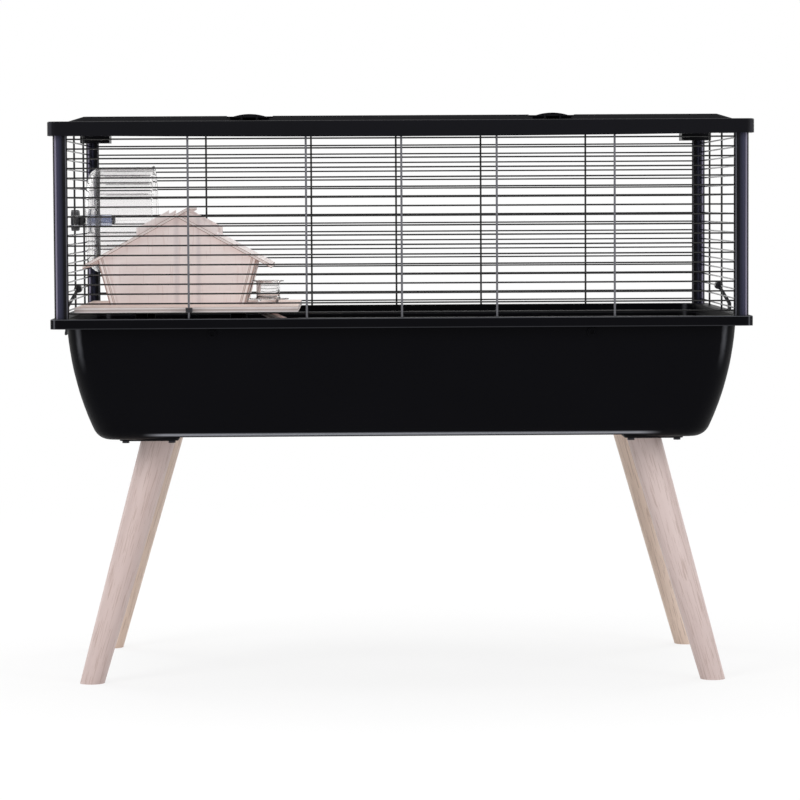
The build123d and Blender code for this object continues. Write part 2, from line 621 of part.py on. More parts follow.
def platform_clip():
    """Small clip around the front panel's left bar, against the board's front edge."""
    bar_y = -post_y - (WIRE / 2 + BAR / 2 - WELD)
    bore = BAR + 2 * SEAT_GAP
    outer = bore / 2 + BOARD_CLIP_WALL
    z0 = wire_heights[0] + WIRE / 2 + PLAY
    z1 = board_top - PLAY
    x = FRONT_BARS[0]
    half = BOARD_CLIP_WIDTH / 2
    body = block(x - half, x + half, bar_y - outer, board_front, z0, z1)
    return body - disc(x, bar_y, z0, z1, bore)


def ramp():
    """Sloping board cut level where it meets the platform and the basin's floor."""
    steep = radians(RAMP_ANGLE)
    run = ramp_drop / tan(steep)
    thick = RAMP_THICKNESS / cos(steep)
    low = thick / tan(steep)
    outline = [
        (ramp_start, board_under),
        (ramp_start + run, tub_floor),
        (ramp_start + run - low, tub_floor),
        (ramp_start - low, board_under),
    ]
    return prism(outline, ramp_front, ramp_front + RAMP_WIDTH)


def ramp_rungs():
    """Strips across the ramp, from just below the platform down to the floor."""
    steep = radians(RAMP_ANGLE)
    slope_length = ramp_drop / (tan(steep) * cos(steep))
    first = RAMP_LAP / cos(steep) + RUNG_PITCH / 2
    count = int((slope_length - first - RUNG) // RUNG_PITCH) + 1
    rise = cos(steep) * tan(steep)
    corner = (ramp_start, ramp_front, board_under)
    surface = Plane(origin=corner, x_dir=(cos(steep), 0, -rise), z_dir=(rise, 0, cos(steep)))
    rungs = []
    for i in range(count):
        along = first + i * RUNG_PITCH
        rungs.append(surface * block(along, along + RUNG, 0, RAMP_WIDTH, 0, RUNG))
    return Compound(children=rungs)


# ---------------------------------------------------------------- house
house_x = board_left + HOUSE_FROM_LEFT
house_front = board_front + HOUSE_SET_BACK
house_back = house_front + HOUSE_DEPTH
slope = tan(radians(ROOF_ANGLE))
roof_lift = ROOF_BOARD / cos(radians(ROOF_ANGLE))
peak_rise = HOUSE_EAVE + slope * ROOF_SPAN / 2
peak = board_top + peak_rise


def under_roof(u):
    """Height of the roof's underside at a distance from the house's middle."""
    return peak - slope * abs(u)


def wall_top(base):
    """Where a leaning line that starts at base on the floor meets the roof's underside."""
    rise = (peak_rise - slope * base) / (1 + slope * HOUSE_LEAN)
    return base + HOUSE_LEAN * rise, board_top + rise


def house_prism(points, y0, y1):
    """A prism whose points are measured from the house's middle."""
    return prism([(house_x + u, z) for u, z in points], y0, y1)


def gable_wall(y0):
    """Front or back wall between the side walls, with two tabs that stand through the roof."""
    inner = HOUSE_BASE / 2 - WALL_SIDE
    u, z = wall_top(inner)
    outline = [(-inner, board_top), (inner, board_top), (u, z), (0, peak), (-u, z)]
    body = house_prism(outline, y0, y0 + WALL_FRONT)
    top = roof_lift + TAB_RISE
    for side in (-1, 1):
        tab = [
            (side * TAB_INNER, under_roof(TAB_INNER) - TAB_ROOT),
            (side * TAB_OUTER, under_roof(TAB_OUTER) - TAB_ROOT),
            (side * TAB_OUTER, under_roof(TAB_OUTER) + top),
            (side * TAB_INNER, under_roof(TAB_INNER) + top),
        ]
        body += house_prism(tab, y0, y0 + WALL_FRONT)
    return body


def back_wall():
    """Back wall with a round window."""
    y0 = house_back - WALL_FRONT
    centre_z = board_top + peak_rise / 2
    start = (house_x, y0 - TOOL_RUN, centre_z)
    end = (house_x, house_back + TOOL_RUN, centre_z)
    return gable_wall(y0) - rod(start, end, WINDOW_DIAMETER)


def side_wall(side):
    """Side wall that leans out; the right one has the doorway."""
    outer = HOUSE_BASE / 2
    inner = outer - WALL_SIDE
    u0, z0 = wall_top(inner)
    u1, z1 = wall_top(outer)
    outline = [
        (side * inner, board_top),
        (side * outer, board_top),
        (side * u1, z1),
        (side * u0, z0),
    ]
    body = house_prism(outline, house_front - SIDE_WALL_PROUD, house_back + SIDE_WALL_PROUD)
    if side < 0:
        return body
    y = (house_front + house_back) / 2
    arch_z = board_top + DOOR_HEIGHT - DOOR_WIDTH / 2
    x0, x1 = house_x + inner - WALL_SIDE, house_x + u1 + WALL_SIDE
    body -= block(x0, x1, y - DOOR_WIDTH / 2, y + DOOR_WIDTH / 2, board_top, arch_z)
    return body - rod((x0, y, arch_z), (x1, y, arch_z), DOOR_WIDTH)


def roof_board(side):
    """Roof board with slots for the walls' tabs; the left one laps over the right one at the ridge."""
    eave = ROOF_SPAN / 2
    if side < 0:
        lap = slope * RIDGE_LAP
        outline = [
            (-eave, under_roof(eave)),
            (RIDGE_LAP, peak + lap),
            (RIDGE_LAP, peak + lap + roof_lift),
            (-eave, under_roof(eave) + roof_lift),
        ]
    else:
        meet = roof_lift / (2 * slope)
        outline = [
            (0, peak),
            (meet, peak + slope * meet),
            (eave, under_roof(eave) + roof_lift),
            (eave, under_roof(eave)),
        ]
    body = house_prism(outline, house_front - ROOF_OVERHANG, house_back + ROOF_OVERHANG)
    for y0 in (house_front, house_back - WALL_FRONT):
        for tab in (-1, 1):
            xs = sorted((house_x + tab * (TAB_INNER - PLAY), house_x + tab * (TAB_OUTER + PLAY)))
            body -= block(*xs, y0 - PLAY, y0 + WALL_FRONT + PLAY, board_top, peak + eave)
    return body


# ---------------------------------------------------------------- wheel
wheel_y = SIDE_BARS[-1] - WHEEL_FROM_BAR
wheel_z = wire_heights[WHEEL_WIRE] + WIRE_PITCH / 2
wires_inside = -side_x + WIRE / 2 + SEAT_GAP
wires_outside = -side_x - WIRE / 2 - SEAT_GAP
flange_inside = wires_inside + AXLE_FLANGE_THICKNESS
hub_start = flange_inside + PLAY
hub_end = hub_start + HUB_LENGTH
drum_start = hub_start + HUB_BACK
collar_end = wires_outside - COLLAR_LENGTH
washer_end = collar_end - WASHER_THICKNESS
knob_end = washer_end - KNOB_LENGTH
nut_start = hub_end + PLAY
nut_end = nut_start + PUSH_NUT_LENGTH


def on_axle(x0, x1, diameter):
    """A cylinder around the wheel's axis."""
    return rod((x0, wheel_y, wheel_z), (x1, wheel_y, wheel_z), diameter)


def wheel_drum():
    """Clear drum with a closed back, rounded shoulder, slats inside and a bead at its mouth."""
    shell = Cylinder(WHEEL_RADIUS, WHEEL_LENGTH, align=LOW)
    shell = fillet(shell.edges().group_by(Axis.Z)[0], WHEEL_SHOULDER)
    bead = Cylinder(WHEEL_RADIUS + WHEEL_BEAD, 2 * WHEEL_BEAD, align=LOW)
    bead = Pos(0, 0, WHEEL_LENGTH - 2 * WHEEL_BEAD) * bead
    hollow = Cylinder(WHEEL_RADIUS - WHEEL_WALL, WHEEL_LENGTH, align=LOW)
    hollow = fillet(hollow.edges().group_by(Axis.Z)[0], WHEEL_SHOULDER - WHEEL_WALL)
    hollow = Pos(0, 0, WHEEL_WALL) * hollow
    body = shell + bead - hollow - Cylinder(HUB_DIAMETER / 2 + FIT, WHEEL_SHOULDER)
    slat_length = WHEEL_LENGTH - WHEEL_SHOULDER - SLAT_SET_BACK
    slat = Box(SLAT_HEIGHT, SLAT_WIDTH, slat_length, align=(Align.MAX, Align.CENTER, Align.MIN))
    ring = WHEEL_RADIUS - WHEEL_WALL / 2
    body += Pos(0, 0, WHEEL_SHOULDER) * PolarLocations(ring, WHEEL_SLATS) * slat
    return Pos(drum_start, wheel_y, wheel_z) * Rot(0, 90, 0) * body


def wheel_hub():
    """Bush that turns on the axle, with a flange against the drum's back."""
    drum_inside = drum_start + WHEEL_WALL
    body = on_axle(hub_start, hub_end, HUB_DIAMETER)
    body += on_axle(drum_inside, drum_inside + WHEEL_WALL, HUB_FLANGE)
    return body - on_axle(hub_start, hub_end, AXLE_DIAMETER + 2 * FIT)


def wheel_axle():
    """Fixed axle through the left panel, with a flange inside the wires."""
    shaft = on_axle(knob_end + KNOB_FACE, nut_end + AXLE_END, AXLE_DIAMETER)
    return shaft + on_axle(wires_inside, flange_inside, AXLE_FLANGE)


def axle_ring(x0, x1, diameter):
    """A ring threaded on the axle."""
    return on_axle(x0, x1, diameter) - on_axle(x0, x1, AXLE_DIAMETER + 2 * FIT)


def wheel_knob():
    """Grooved knob that clamps the axle from outside; its bore is blind."""
    body = on_axle(knob_end, washer_end, KNOB_DIAMETER)
    grip = Cylinder(GRIP_RADIUS, KNOB_LENGTH, align=LOW)
    around = PolarLocations(KNOB_DIAMETER / 2, KNOB_GRIPS)
    grips = Pos(knob_end, wheel_y, wheel_z) * Rot(0, 90, 0) * around * grip
    return body - grips - on_axle(knob_end + KNOB_FACE - PLAY, washer_end, AXLE_DIAMETER + 2 * FIT)


# ---------------------------------------------------------------- bowl
def bowl():
    """Clear feeding bowl on a narrow foot, with a wide flange and a turned-out rim."""
    x = board_right - BOWL_FROM_RIGHT
    y = board_front + BOWL_SET_BACK
    flange = board_top + BOWL_FLANGE_RISE
    top = board_top + BOWL_HEIGHT
    body = disc(x, y, board_top, flange, BOWL_FOOT_DIAMETER) + disc(x, y, flange, top, BOWL_DIAMETER)
    body += disc(x, y, flange, flange + BOWL_LIP, BOWL_FLANGE_DIAMETER)
    body += disc(x, y, top - BOWL_LIP, top, BOWL_RIM_DIAMETER)
    return body - disc(x, y, flange + BOWL_WALL, top, BOWL_DIAMETER - 2 * BOWL_WALL)


# ---------------------------------------------------------------- all nodes
def all_nodes():
    """Every node of the cage by name."""
    nodes = {"basin": basin(), "leg_plate_screws": plate_screws(), "leg_studs": leg_studs()}
    for name, sx, sy in CORNERS:
        nodes["leg_plate_" + name] = leg_plate(sx, sy)
        nodes["leg_" + name] = leg(sx, sy)
        nodes["post_" + name] = post(sx, sy)
    long_panel = wire_panel(2 * (post_x - WIRE_END), FRONT_BARS)
    short_panel = wire_panel(2 * (post_y - WIRE_END), SIDE_BARS)
    nodes["wire_panel_front"] = Pos(0, -post_y, 0) * long_panel
    nodes["wire_panel_back"] = Pos(0, post_y, 0) * Rot(0, 0, 180) * long_panel
    nodes["wire_panel_left"] = Pos(-side_x, 0, 0) * Rot(0, 0, -90) * short_panel
    nodes["wire_panel_right"] = Pos(side_x, 0, 0) * Rot(0, 0, 90) * short_panel
    nodes["lid_frame"] = lid_frame()
    nodes["roof_panel"] = roof_panel()
    nodes["roof_grille"] = roof_grille()
    nodes["roof_hinge_pins"] = hinge_pins()
    for name, side in (("left", -1), ("right", 1)):
        nodes["roof_latch_" + name] = roof_latch(side)
        nodes["side_clip_" + name] = side_clip(side)
        nodes["house_wall_" + name] = side_wall(side)
        nodes["house_roof_" + name] = roof_board(side)
    nodes["house_wall_front"] = gable_wall(house_front)
    nodes["house_wall_back"] = back_wall()
    board = block(board_left, board_right, board_front, board_back, board_under, board_top)
    nodes["platform_board"] = board
    foot_xs = (board_left + BOARD_FOOT_INSET_X, board_right - BOARD_FOOT_INSET_X)
    foot_ys = (board_front + BOARD_FOOT_INSET_Y, board_back - BOARD_FOOT_INSET_Y)
    for name, sx, sy in CORNERS:
        nodes["platform_foot_" + name] = platform_foot(foot_xs[sx > 0], foot_ys[sy > 0])
    nodes["platform_clip"] = platform_clip()
    nodes["ramp"] = ramp()
    nodes["ramp_rungs"] = ramp_rungs()
    nodes["wheel_drum"] = wheel_drum()
    nodes["wheel_hub"] = wheel_hub()
    nodes["wheel_axle"] = wheel_axle()
    nodes["wheel_collar"] = axle_ring(collar_end, wires_outside, COLLAR_DIAMETER)
    nodes["wheel_washer"] = axle_ring(washer_end, collar_end, WASHER_DIAMETER)
    nodes["wheel_knob"] = wheel_knob()
    nodes["wheel_push_nut"] = axle_ring(nut_start, nut_end, PUSH_NUT_DIAMETER)
    nodes["bowl"] = bowl()
    return nodes


os.makedirs("parts", exist_ok=True)
for node, shape in all_nodes().items():
    export_step(shape, "parts/" + node + ".step")
    print(node, len(shape.solids()), "solids", round(shape.volume), "mm3")
print("wheel axis", round(wheel_y, 3), round(wheel_z, 3), "knob end", round(knob_end, 3))
print("hinge", round(hinge_y, 3), round(hinge_z, 3))
print("clip pivot", side_x, round(wire_heights[CLIP_WIRE], 3))
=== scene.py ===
# %% [markdown]
# # A small-animal cage on wooden legs
# This lesson dresses a finished CAD model of a cage: a deep black tray on four splayed wooden
# legs, a wire cage with fluted posts, a lid with a hinged wire roof, and inside it a plywood
# platform with a house, a ramp, a running wheel and a feeding bowl. The CAD parts are already
# in place and at their real size, so they are loaded first and never moved.

# %% Load the frame and keep its box
from math import cos, hypot, pi, radians, sin

import bmesh
import bpy
from mathutils import Matrix, Vector


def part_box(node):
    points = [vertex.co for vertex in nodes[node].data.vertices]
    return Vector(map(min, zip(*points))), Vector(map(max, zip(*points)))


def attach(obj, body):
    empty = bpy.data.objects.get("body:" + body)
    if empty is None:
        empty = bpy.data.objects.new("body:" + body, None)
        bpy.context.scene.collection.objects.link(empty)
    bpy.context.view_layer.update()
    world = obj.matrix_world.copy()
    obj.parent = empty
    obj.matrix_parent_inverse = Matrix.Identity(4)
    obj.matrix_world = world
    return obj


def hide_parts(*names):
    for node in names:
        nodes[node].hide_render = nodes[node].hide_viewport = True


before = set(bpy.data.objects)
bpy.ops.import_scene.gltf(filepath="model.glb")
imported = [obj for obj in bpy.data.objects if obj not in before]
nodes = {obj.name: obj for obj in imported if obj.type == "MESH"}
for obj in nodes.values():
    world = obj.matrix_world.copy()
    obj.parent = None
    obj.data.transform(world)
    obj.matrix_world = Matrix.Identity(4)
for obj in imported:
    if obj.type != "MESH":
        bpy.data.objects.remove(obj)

bpy.context.view_layer.update()
MM = 0.001

# %% [markdown]
# ## The camera
# The cage is seen from the front with a long lens from nearly four metres away, slightly above
# the tray. A long lens keeps upright edges parallel, as a catalogue view does. The camera is
# turned a little about the upright axis and rolled by less than half a degree.

# %% Camera
LENS = 146.4
SENSOR = 36.0
FARTHEST = 50.0
CAMERA_PLACE = (-0.0532, -3.815, 0.540)
PAN = radians(-0.805)
TILT = radians(90 - 3.45)
ROLL = radians(-0.30)
camera_data = bpy.data.cameras.new("front_camera")
camera_data.lens = LENS
camera_data.sensor_width = SENSOR
camera_data.clip_end = FARTHEST
camera = bpy.data.objects.new("front_camera", camera_data)
bpy.context.scene.collection.objects.link(camera)
pan = Matrix.Rotation(PAN, 4, "Z")
tilt = Matrix.Rotation(TILT, 4, "X")
roll = Matrix.Rotation(ROLL, 4, "Z")
camera.matrix_world = Matrix.Translation(CAMERA_PLACE) @ pan @ tilt @ roll
bpy.context.scene.camera = camera
bpy.context.scene.view_settings.view_transform = "Standard"
print("camera", [round(x, 3) for x in camera.matrix_world.translation])

# %% [markdown]
# ## Writing shaders as sums
# A shader is a small calculation for every point of a surface: where am I, how much grain is
# here, how dark does that make the wood? Written as Python sums it stays readable. The class
# below wraps one output of a node, and its operators add the Math nodes. Any other node comes
# from its `node` method, which takes the kind, its settings and what goes into its sockets.


# %% A value in a shader
class Shade:
    """One output of a shader node. Sums on it add Math nodes to the same material."""

    def __init__(self, tree, socket):
        self.tree = tree
        self.socket = socket

    def node(self, kind, settings, inputs, output=0):
        """Adds a node: its settings first, then the values or links of its sockets."""
        made = self.tree.nodes.new(kind)
        for name, value in settings.items():
            if name == "stops":
                fill_ramp(made.color_ramp, value)
            else:
                setattr(made, name, value)
        for name, value in inputs.items():
            if isinstance(value, Shade):
                self.tree.links.new(value.socket, made.inputs[name])
            else:
                made.inputs[name].default_value = value
        return Shade(self.tree, made.outputs[output])

    def math(self, operation, *values):
        return self.node("ShaderNodeMath", {"operation": operation}, dict(enumerate(values)))

    def __add__(self, other):
        return self.math("ADD", self, other)

    __radd__ = __add__

    def __sub__(self, other):
        return self.math("SUBTRACT", self, other)

    def __rsub__(self, other):
        return self.math("SUBTRACT", other, self)

    def __mul__(self, other):
        return self.math("MULTIPLY", self, other)

    __rmul__ = __mul__

    def __abs__(self):
        return self.math("ABSOLUTE", self)

    def __gt__(self, other):
        return self.math("GREATER_THAN", self, other)

    def __lt__(self, other):
        return self.math("LESS_THAN", self, other)


def fill_ramp(ramp, stops):
    """Gives a colour ramp its stops, each a place from 0 to 1 and a colour."""
    while len(ramp.elements) < len(stops):
        ramp.elements.new(1.0)
    for element, (place, colour) in zip(ramp.elements, stops):
        element.position = place
        element.color = colour


# %% [markdown]
# Colours are written as a painter reads them off a chart, from 0 to 255, and turned into the
# linear light values that the renderer works with. Noise, mixes, dot products and bumps are
# used by nearly every finish, so each gets a helper with a plain name.


# %% Helpers for colours, grain and bumps
def paint(red, green, blue):
    """A chart colour as linear light."""
    steps = [value / 255 for value in (red, green, blue)]
    return (*[s / 12.92 if s <= 0.04045 else ((s + 0.055) / 1.055) ** 2.4 for s in steps], 1.0)


def blend_colours(factor, first, second):
    """A colour between two others; a factor of 0 is the first."""
    settings = {"data_type": "RGBA"}
    return factor.node("ShaderNodeMix", settings, {0: factor, 6: first, 7: second}, output=2)


def grain(place, scale, detail=3.0, stretch=(1.0, 1.0, 1.0), turn=(0.0, 0.0, 0.0)):
    """Noise from 0 to 1. Scale counts its blotches per metre; stretch and turn shape them."""
    mapped = place.node("ShaderNodeMapping", {}, {"Vector": place, "Rotation": turn, "Scale": stretch})
    inputs = {"Vector": mapped, "Scale": scale, "Detail": detail}
    return place.node("ShaderNodeTexNoise", {}, inputs)


def along(place, direction):
    """How far a point lies along a direction."""
    settings = {"operation": "DOT_PRODUCT"}
    return place.node("ShaderNodeVectorMath", settings, {0: place, 1: direction}, output=1)


def new_finish(name, constants):
    """A material with its fixed values set. Gives it, its shader and the point being shaded."""
    material = bpy.data.materials.new(name)
    material.use_nodes = True
    tree = material.node_tree
    shader = tree.nodes["Principled BSDF"]
    for socket, value in constants.items():
        shader.inputs[socket].default_value = value
    point = Shade(tree, tree.nodes.new("ShaderNodeTexCoord").outputs["Object"])
    return material, shader, point


def feed(shader, socket, shade):
    """Links a value to one of the shader's own sockets."""
    shade.tree.links.new(shade.socket, shader.inputs[socket])


def bumps(height, distance, strength=1.0):
    """A Normal from a height; distance is the real relief in metres."""
    inputs = {"Height": height, "Distance": distance, "Strength": strength}
    return height.node("ShaderNodeBump", {}, inputs)


def put_on(material, *names):
    """Gives CAD nodes a material."""
    for name in names:
        for slot in nodes[name].material_slots:
            slot.material = material


print("white chart", [round(x, 3) for x in paint(255, 255, 255)])

# %% [markdown]
# ## Moulded plastics
# The tray, lid and roof are injection moulded. Such plastic is satin: its colour barely varies,
# but the mould leaves a very fine texture that breaks up reflections, and large walls have a
# slow change in gloss. So the colour gets faint cloudiness, and roughness and bump carry the
# texture. One function makes them all, because only their colour and gloss differ.


# %% Moulded plastic
CLOUDS = 9.0
MOULD_TEXTURE = 1400.0
MOULD_RELIEF = 0.04 * MM
CLOUD_SHINE = 0.10
PORE_SHINE = 0.06
TRAY_BLACKS = (paint(4, 4, 7), paint(8, 8, 12))
LID_BLACKS = (paint(8, 8, 12), paint(13, 13, 19))


def moulded(name, dark, light, roughness, specular, texture=MOULD_TEXTURE, relief=MOULD_RELIEF):
    """Satin plastic between two colours, with faint clouds and a fine mould texture."""
    material, shader, point = new_finish(name, {"Specular IOR Level": specular})
    clouds = grain(point, CLOUDS, detail=2.0)
    pores = grain(point, texture, detail=1.0)
    feed(shader, "Base Color", blend_colours(clouds, dark, light))
    feed(shader, "Roughness", roughness + CLOUD_SHINE * (clouds - 0.5) + PORE_SHINE * (pores - 0.5))
    feed(shader, "Normal", bumps(pores, relief))
    return material


tray_plastic = moulded("tray_plastic", *TRAY_BLACKS, 0.42, 0.04)
lid_plastic = moulded("lid_plastic", *LID_BLACKS, 0.36, 0.08)
roof_plastic = moulded("roof_plastic", paint(5, 5, 8), paint(9, 9, 13), 0.62, 0.03)
clip_plastic = moulded("clip_plastic", paint(22, 22, 26), paint(32, 32, 37), 0.30, 0.3)
knob_plastic = moulded("knob_plastic", paint(26, 26, 31), paint(36, 36, 42), 0.34, 0.45)
put_on(lid_plastic, "roof_latch_left", "roof_latch_right")
put_on(roof_plastic, "roof_panel")
put_on(clip_plastic, "side_clip_left", "side_clip_right", "platform_clip")
put_on(knob_plastic, "wheel_collar", "wheel_washer", "wheel_knob", "wheel_push_nut")
print("plastics", len(bpy.data.materials))

# %% [markdown]
# ## Painted highlights on the tray and the lid
# The soft highlights on the black plastic are painted into its colour: paler, slightly glossier
# bands along the lower edge of the tray, on its upright corners just below the rim, and along the
# edges of the rim and the lid's skirt. A band is a soft hump in height, or in how far the surface
# has turned round a corner. The humps are added up and lighten the plain plastic's colour.


# %% Painted highlight bands
def smooth(value, start, end, first, last):
    """Goes gently from the first number, at the start, to the last one, at the end."""
    settings = {"interpolation_type": "SMOOTHSTEP"}
    inputs = {"Value": value, "From Min": start, "From Max": end, "To Min": first, "To Max": last}
    return value.node("ShaderNodeMapRange", settings, inputs)


def hump(value, middle, half_width):
    """1 where the value is at the middle, fading to 0 at half a width to either side."""
    return smooth(abs(value - middle), 0.0, half_width, 1.0, 0.0)


def rise(value, start, end):
    """0 below the start, 1 past the end."""
    return smooth(value, start, end, 0.0, 1.0)


def axes(shade):
    """The three coordinates of a vector."""
    parts = shade.node("ShaderNodeSeparateXYZ", {}, {0: shade}).socket.node
    return [Shade(shade.tree, output) for output in parts.outputs]


BROAD_CLOUDS = 7.0
HIGHLIGHT_GLOSS = 0.12


def painted_highlights(name, dark, light, highlight_colour, roughness, specular, bands):
    """Moulded plastic with painted highlights; bands gives how strong the painted highlight is at each
    point.
    """
    material, shader, point = new_finish(name, {"Specular IOR Level": specular})
    facing = Shade(point.tree, point.socket.node.outputs["Normal"])
    clouds = grain(point, BROAD_CLOUDS, detail=2.0)
    pores = grain(point, MOULD_TEXTURE, detail=1.0)
    painted_highlight_share = bands(point, facing)
    plain = blend_colours(clouds, dark, light)
    even = roughness + CLOUD_SHINE * (clouds - 0.5) + PORE_SHINE * (pores - 0.5)
    # Painted highlight: the bands lighten the colour towards a pale highlight colour.
    feed(shader, "Base Color", blend_colours(painted_highlight_share, plain, highlight_colour))
    feed(shader, "Roughness", even - HIGHLIGHT_GLOSS * painted_highlight_share)
    feed(shader, "Normal", bumps(pores, MOULD_RELIEF))
    return material


# %% [markdown]
# Each painted highlight band is written as where its middle lies, how wide it is to either side and
# how strong it is. The lower edge is measured up from the tray's bottom, and the rim's and lid's edges
# down from their tops. The stretch between the legs and the upright corners have a start and an
# end instead, the corners' as heights above the floor. A surface that is partly turned up or
# sideways goes round an edge or a corner, which is how a band is kept to that edge.

# %% Bands on the tray and the lid
LOWER_EDGE = (5.8 * MM, 2.4 * MM, 0.7)
BETWEEN_LEGS = (262 * MM, 292 * MM)
UPRIGHT_CORNERS = (350 * MM, 400 * MM, 0.2)
RIM_EDGE = (0.6 * MM, 1.2 * MM, 0.3)
RIM_FOOT = (10.6 * MM, 0.9 * MM, 0.07)
LID_EDGE = (0.6 * MM, 1.3 * MM, 0.3)
LID_CORNER = (0.62, 0.3, 0.08)
HALF_TURNED_UP = (0.55, 0.42)


def tray_painted_highlights(point, facing):
    """How strong the painted highlight is on the tray: its lower edge, its upright corners and its rim."""
    x, _, height = axes(point)
    turned_x, turned_y, turned_z = axes(facing)
    tray_low, tray_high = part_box("basin")
    edge_height, edge_width, edge_strength = LOWER_EDGE
    between_legs = 1 - rise(abs(x), *BETWEEN_LEGS)
    looks_down = rise(turned_z * -1, 0.02, 0.2)
    lower_edge = hump(height, tray_low.z + edge_height, edge_width) * between_legs * looks_down * edge_strength
    corner = hump(abs(turned_x), 0.52, 0.16) * rise(abs(turned_y), 0.5, 0.75)
    corner_start, corner_end, corner_strength = UPRIGHT_CORNERS
    upright = corner * rise(height, corner_start, corner_end) * corner_strength
    rim_down, rim_width, rim_strength = RIM_EDGE
    rim_top = hump(height, tray_high.z - rim_down, rim_width) * hump(turned_z, *HALF_TURNED_UP) * rim_strength
    foot_down, foot_width, foot_strength = RIM_FOOT
    rim_foot = hump(height, tray_high.z - foot_down, foot_width) * foot_strength
    return lower_edge + upright + rim_top + rim_foot


def lid_painted_highlights(point, facing):
    """How strong the painted highlight is on the lid: its upper edge and its corners."""
    height = axes(point)[2]
    turned_x, _, turned_z = axes(facing)
    lid_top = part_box("lid_frame")[1].z
    edge_down, edge_width, edge_strength = LID_EDGE
    upper_edge = hump(height, lid_top - edge_down, edge_width) * hump(turned_z, *HALF_TURNED_UP) * edge_strength
    corner_turn, corner_width, corner_strength = LID_CORNER
    return upper_edge + hump(abs(turned_x), corner_turn, corner_width) * corner_strength


# Pale colours of the painted highlights on the tray and the lid.
TRAY_HIGHLIGHT = paint(168, 170, 178)
LID_HIGHLIGHT = paint(150, 150, 162)
tray_black = painted_highlights("tray_black", *TRAY_BLACKS, TRAY_HIGHLIGHT, 0.42, 0.04, tray_painted_highlights)
lid_black = painted_highlights("lid_black", *LID_BLACKS, LID_HIGHLIGHT, 0.36, 0.08, lid_painted_highlights)
put_on(tray_black, "basin")
put_on(lid_black, "lid_frame")
print("rubbed plastics", tray_black.name, lid_black.name)

# %% [markdown]
# ## Fluted posts
# The corner posts are extruded from navy plastic with shallow flutes. Their light and shade are
# painted into the colour in upright bands: pale painted highlights on the broad bands between the
# flutes, and painted shade on the sunk ones. The bands stand upright, so a band's colour depends
# only on the angle around the post's own axis. An arc tangent gives that angle, and a ramp turns
# it into a colour, with a pale painted highlight near each edge of the band.
# The two ends of the cage are mirror images.


# %% Post plastic
def post_finish(name, side):
    """Navy plastic with painted highlights and painted shade in upright bands around the axis of one post;
    side is -1 on the left.
    """
    material, shader, point = new_finish(name + "_plastic", {"Specular IOR Level": 0.1})
    low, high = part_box(name)
    x, y, _ = axes(point)
    outward = (x - (low.x + high.x) / 2) * side
    angle = abs(outward.math("ARCTAN2", y - (low.y + high.y) / 2, outward)) * (1 / pi)
    drift = grain(point, 220.0, detail=2.0, stretch=(1.0, 1.0, 0.05))
    turn = angle + 0.02 * (drift - 0.5)
    # Painted light: painted shade in the dark stops, painted highlights in the two pale bands, navy
    # between.
    stops = [
        (0.00, paint(5, 5, 9)),
        (0.22, paint(7, 7, 12)),
        (0.25, paint(126, 122, 140)),
        (0.33, paint(122, 118, 136)),
        (0.36, paint(56, 56, 74)),
        (0.50, paint(48, 49, 66)),
        (0.60, paint(28, 29, 40)),
        (0.67, paint(10, 9, 15)),
        (0.76, paint(7, 7, 11)),
        (0.79, paint(92, 92, 99)),
        (0.83, paint(88, 88, 95)),
        (0.86, paint(7, 7, 11)),
        (1.00, paint(5, 5, 9)),
    ]
    bands = turn.node("ShaderNodeValToRGB", {"stops": stops}, {"Fac": turn})
    feed(shader, "Base Color", bands)
    feed(shader, "Roughness", 0.28 + 0.12 * (drift - 0.5))
    feed(shader, "Normal", bumps(drift, 0.00003))
    return material


for name in nodes:
    if name.startswith("post_"):
        put_on(post_finish(name, -1 if name.endswith("left") else 1), name)
print("posts", len([name for name in nodes if name.startswith("post_")]))

# %% [markdown]
# ## Metals
# The wires are steel with a baked black lacquer: dark, smooth and a little uneven where the
# lacquer ran. The front uprights get a paler grey lacquer, a painted highlight for the light that
# they catch. Leg plates are pressed steel under black powder paint, which has a pebbled skin.
# Studs and hinge pins are zinc plated, and so are the plates' screws, in a darker zinc.


# %% Lacquer, powder paint and zinc
def lacquer(name, colour, roughness, metallic, specular):
    """A smooth coat on metal whose colour and gloss vary a little where it ran."""
    fixed = {"Metallic": metallic, "Specular IOR Level": specular}
    material, shader, point = new_finish(name, fixed)
    runs = grain(point, 160.0, detail=2.0)
    darker = (*[channel * 0.72 for channel in colour[:3]], 1.0)
    feed(shader, "Base Color", blend_colours(runs, darker, colour))
    feed(shader, "Roughness", roughness + 0.08 * (runs - 0.5))
    feed(shader, "Normal", bumps(runs, 0.00003))
    return material


wire_lacquer = lacquer("wire_lacquer", paint(14, 14, 16), 0.09, 0.0, 0.5)
# Painted highlight: the front uprights' lacquer is a paler grey for the light that they catch.
bar_highlight_lacquer = lacquer("bar_highlight_lacquer", paint(104, 104, 110), 0.36, 0.35, 0.5)
PEBBLES = 900.0
PEBBLE_RELIEF = 0.12 * MM
POWDER_BLACKS = (paint(14, 14, 16), paint(22, 22, 25))
powder_paint = moulded("powder_paint", *POWDER_BLACKS, 0.6, 0.1, PEBBLES, PEBBLE_RELIEF)
zinc = lacquer("zinc", paint(172, 174, 178), 0.32, 1.0, 0.5)
leg_plates = [name for name in nodes if name.startswith("leg_plate_") and name != "leg_plate_screws"]
put_on(powder_paint, *leg_plates)
dark_zinc = lacquer("dark_zinc", paint(52, 52, 56), 0.4, 0.8, 0.3)
put_on(zinc, "leg_studs", "roof_hinge_pins")
put_on(dark_zinc, "leg_plate_screws")
print("metals", len(bpy.data.materials))

# %% [markdown]
# ## Solid wood for the legs
# Each leg is turned from a pale hardwood and waxed. Its grain runs along the leg, so the noise
# is turned to the leg's own slope and stretched along it: wide bands for the growth rings, and
# fine dark pores over them. The back legs look a little warmer.


# %% Leg wood
SPLAY_X = 76 * MM
SPLAY_Y = 30 * MM
PORE_COLOUR = paint(160, 132, 120)


